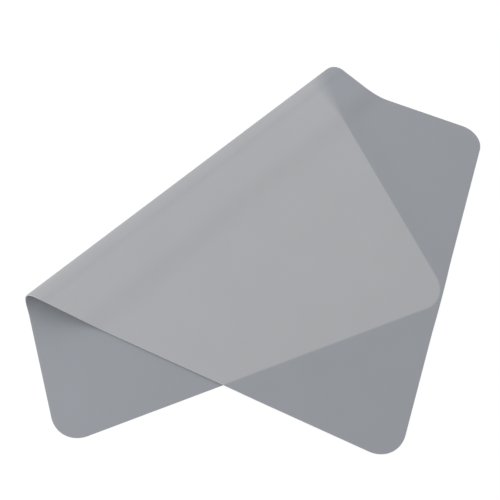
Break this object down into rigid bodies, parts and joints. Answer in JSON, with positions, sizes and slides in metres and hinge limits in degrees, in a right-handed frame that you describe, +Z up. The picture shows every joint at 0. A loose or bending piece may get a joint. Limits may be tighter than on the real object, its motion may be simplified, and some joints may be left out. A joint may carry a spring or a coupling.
{
  "type": "silicone pastry mat",
  "caption": "Thin plain grey silicone pastry mat with rounded corners, lying folded over at a slant with a soft open loop along the fold; it unfolds to lie flat.",
  "frame": {"origin": "on the table under the middle of the folded mat", "axes": "+X along the width of the mat's lower leaf, +Y along its length from the near edge to the fold, +Z up from the table"},
  "size_m": [0.4072, 0.3126, 0.02],
  "materials": {
    "silicone": "matte grey silicone"
  },
  "bodies": {
    "lower_leaf": {"lower_leaf": "silicone"},
    "loop_strip_01": {"loop_strip_01": "silicone"},
    "loop_strip_02": {"loop_strip_02": "silicone"},
    "loop_strip_03": {"loop_strip_03": "silicone"},
    "loop_strip_04": {"loop_strip_04": "silicone"},
    "loop_strip_05": {"loop_strip_05": "silicone"},
    "loop_strip_06": {"loop_strip_06": "silicone"},
    "loop_strip_07": {"loop_strip_07": "silicone"},
    "loop_strip_08": {"loop_strip_08": "silicone"},
    "loop_strip_09": {"loop_strip_09": "silicone"},
    "loop_strip_10": {"loop_strip_10": "silicone"},
    "loop_strip_11": {"loop_strip_11": "silicone"},
    "loop_strip_12": {"loop_strip_12": "silicone"},
    "loop_strip_13": {"loop_strip_13": "silicone"},
    "loop_strip_14": {"loop_strip_14": "silicone"},
    "ramp_strip": {"ramp_strip": "silicone"},
    "landing_strip_01": {"landing_strip_01": "silicone"},
    "landing_strip_02": {"landing_strip_02": "silicone"},
    "landing_strip_03": {"landing_strip_03": "silicone"},
    "upper_leaf": {"upper_leaf": "silicone"}
  },
  "joints": [
    {"name": "fold_open", "type": "hinge", "parent": "lower_leaf", "child": "upper_leaf", "pos_m": [-0.04416, 0.1032, 0.00115], "axis": [-0.9209, -0.3898, 0], "range_deg": [0, 180]},
    {"name": "loop_strip_01_turn", "type": "hinge", "parent": "upper_leaf", "child": "loop_strip_01", "pos_m": [-0.0596, 0.09662, 0.0022], "axis": [-0.9209, -0.3898, 0], "range_deg": [-172.57, 0]},
    {"name": "loop_strip_02_turn", "type": "hinge", "parent": "upper_leaf", "child": "loop_strip_02", "pos_m": [-0.05862, 0.09697, 0.0041], "axis": [-0.9209, -0.3898, 0], "range_deg": [-157.72, 0]},
    {"name": "loop_strip_03_turn", "type": "hinge", "parent": "upper_leaf", "child": "loop_strip_03", "pos_m": [-0.05766, 0.09737, 0.00577], "axis": [-0.9209, -0.3898, 0], "range_deg": [-142.86, 0]},
    {"name": "loop_strip_04_turn", "type": "hinge", "parent": "upper_leaf", "child": "loop_strip_04", "pos_m": [-0.05674, 0.09788, 0.00726], "axis": [-0.9209, -0.3898, 0], "range_deg": [-128, 0]},
    {"name": "loop_strip_05_turn", "type": "hinge", "parent": "upper_leaf", "child": "loop_strip_05", "pos_m": [-0.05589, 0.09856, 0.0086], "axis": [-0.9209, -0.3898, 0], "range_deg": [-113.14, 0]},
    {"name": "loop_strip_06_turn", "type": "hinge", "parent": "upper_leaf", "child": "loop_strip_06", "pos_m": [-0.05516, 0.0995, 0.00985], "axis": [-0.9209, -0.3898, 0], "range_deg": [-98.29, 0]},
    {"name": "loop_strip_07_turn", "type": "hinge", "parent": "upper_leaf", "child": "loop_strip_07", "pos_m": [-0.05461, 0.10086, 0.01105], "axis": [-0.9209, -0.3898, 0], "range_deg": [-83.43, 0]},
    {"name": "loop_strip_08_turn", "type": "hinge", "parent": "upper_leaf", "child": "loop_strip_08", "pos_m": [-0.05436, 0.10295, 0.01229], "axis": [-0.9209, -0.3898, 0], "range_deg": [-68.57, 0]},
    {"name": "loop_strip_09_turn", "type": "hinge", "parent": "upper_leaf", "child": "loop_strip_09", "pos_m": [-0.05467, 0.10636, 0.01372], "axis": [-0.9209, -0.3898, 0], "range_deg": [-53.72, 0]},
    {"name": "loop_strip_10_turn", "type": "hinge", "parent": "upper_leaf", "child": "loop_strip_10", "pos_m": [-0.0562, 0.11264, 0.0157], "axis": [-0.9209, -0.3898, 0], "range_deg": [-38.86, 0]},
    {"name": "loop_strip_11_turn", "type": "hinge", "parent": "upper_leaf", "child": "loop_strip_11", "pos_m": [-0.0612, 0.12715, 0.0195], "axis": [-0.9209, -0.3898, 0], "range_deg": [-24, 0]},
    {"name": "loop_strip_12_turn", "type": "hinge", "parent": "upper_leaf", "child": "loop_strip_12", "pos_m": [-0.08668, 0.19001, 0.03452], "axis": [-0.9209, -0.3898, 0], "range_deg": [-9.14, 0]},
    {"name": "loop_strip_13_turn", "type": "hinge", "parent": "upper_leaf", "child": "loop_strip_13", "pos_m": [0.02704, -0.07594, -0.02763], "axis": [-0.9209, -0.3898, 0], "range_deg": [0, 5.72]},
    {"name": "loop_strip_14_turn", "type": "hinge", "parent": "upper_leaf", "child": "loop_strip_14", "pos_m": [-0.02164, 0.04172, 0.00002], "axis": [-0.9209, -0.3898, 0], "range_deg": [0, 20.57]},
    {"name": "ramp_strip_turn", "type": "hinge", "parent": "upper_leaf", "child": "ramp_strip", "pos_m": [-0.02164, 0.05547, 0.0028], "axis": [-0.9209, -0.3898, 0], "range_deg": [0, 28]},
    {"name": "landing_strip_01_turn", "type": "hinge", "parent": "upper_leaf", "child": "landing_strip_01", "pos_m": [-0.0148, 0.05615, 0.00249], "axis": [-0.9209, -0.3898, 0], "range_deg": [0, 23.34]},
    {"name": "landing_strip_02_turn", "type": "hinge", "parent": "upper_leaf", "child": "landing_strip_02", "pos_m": [-0.01004, 0.05374, 0.00205], "axis": [-0.9209, -0.3898, 0], "range_deg": [0, 14]},
    {"name": "landing_strip_03_turn", "type": "hinge", "parent": "upper_leaf", "child": "landing_strip_03", "pos_m": [-0.00527, 0.05134, 0.00183], "axis": [-0.9209, -0.3898, 0], "range_deg": [0, 4.67]}
  ],
  "couplings": [
    {"joint": "loop_strip_01_turn", "follows": "fold_open", "ratio": -0.95873},
    {"joint": "loop_strip_02_turn", "follows": "fold_open", "ratio": -0.87619},
    {"joint": "loop_strip_03_turn", "follows": "fold_open", "ratio": -0.79365},
    {"joint": "loop_strip_04_turn", "follows": "fold_open", "ratio": -0.71111},
    {"joint": "loop_strip_05_turn", "follows": "fold_open", "ratio": -0.62857},
    {"joint": "loop_strip_06_turn", "follows": "fold_open", "ratio": -0.54603},
    {"joint": "loop_strip_07_turn", "follows": "fold_open", "ratio": -0.46349},
    {"joint": "loop_strip_08_turn", "follows": "fold_open", "ratio": -0.38095},
    {"joint": "loop_strip_09_turn", "follows": "fold_open", "ratio": -0.29841},
    {"joint": "loop_strip_10_turn", "follows": "fold_open", "ratio": -0.21587},
    {"joint": "loop_strip_11_turn", "follows": "fold_open", "ratio": -0.13333},
    {"joint": "loop_strip_12_turn", "follows": "fold_open", "ratio": -0.050794},
    {"joint": "loop_strip_13_turn", "follows": "fold_open", "ratio": 0.031746},
    {"joint": "loop_strip_14_turn", "follows": "fold_open", "ratio": 0.11429},
    {"joint": "ramp_strip_turn", "follows": "fold_open", "ratio": 0.15556},
    {"joint": "landing_strip_01_turn", "follows": "fold_open", "ratio": 0.12963},
    {"joint": "landing_strip_02_turn", "follows": "fold_open", "ratio": 0.077778},
    {"joint": "landing_strip_03_turn", "follows": "fold_open", "ratio": 0.025926}
  ]
}
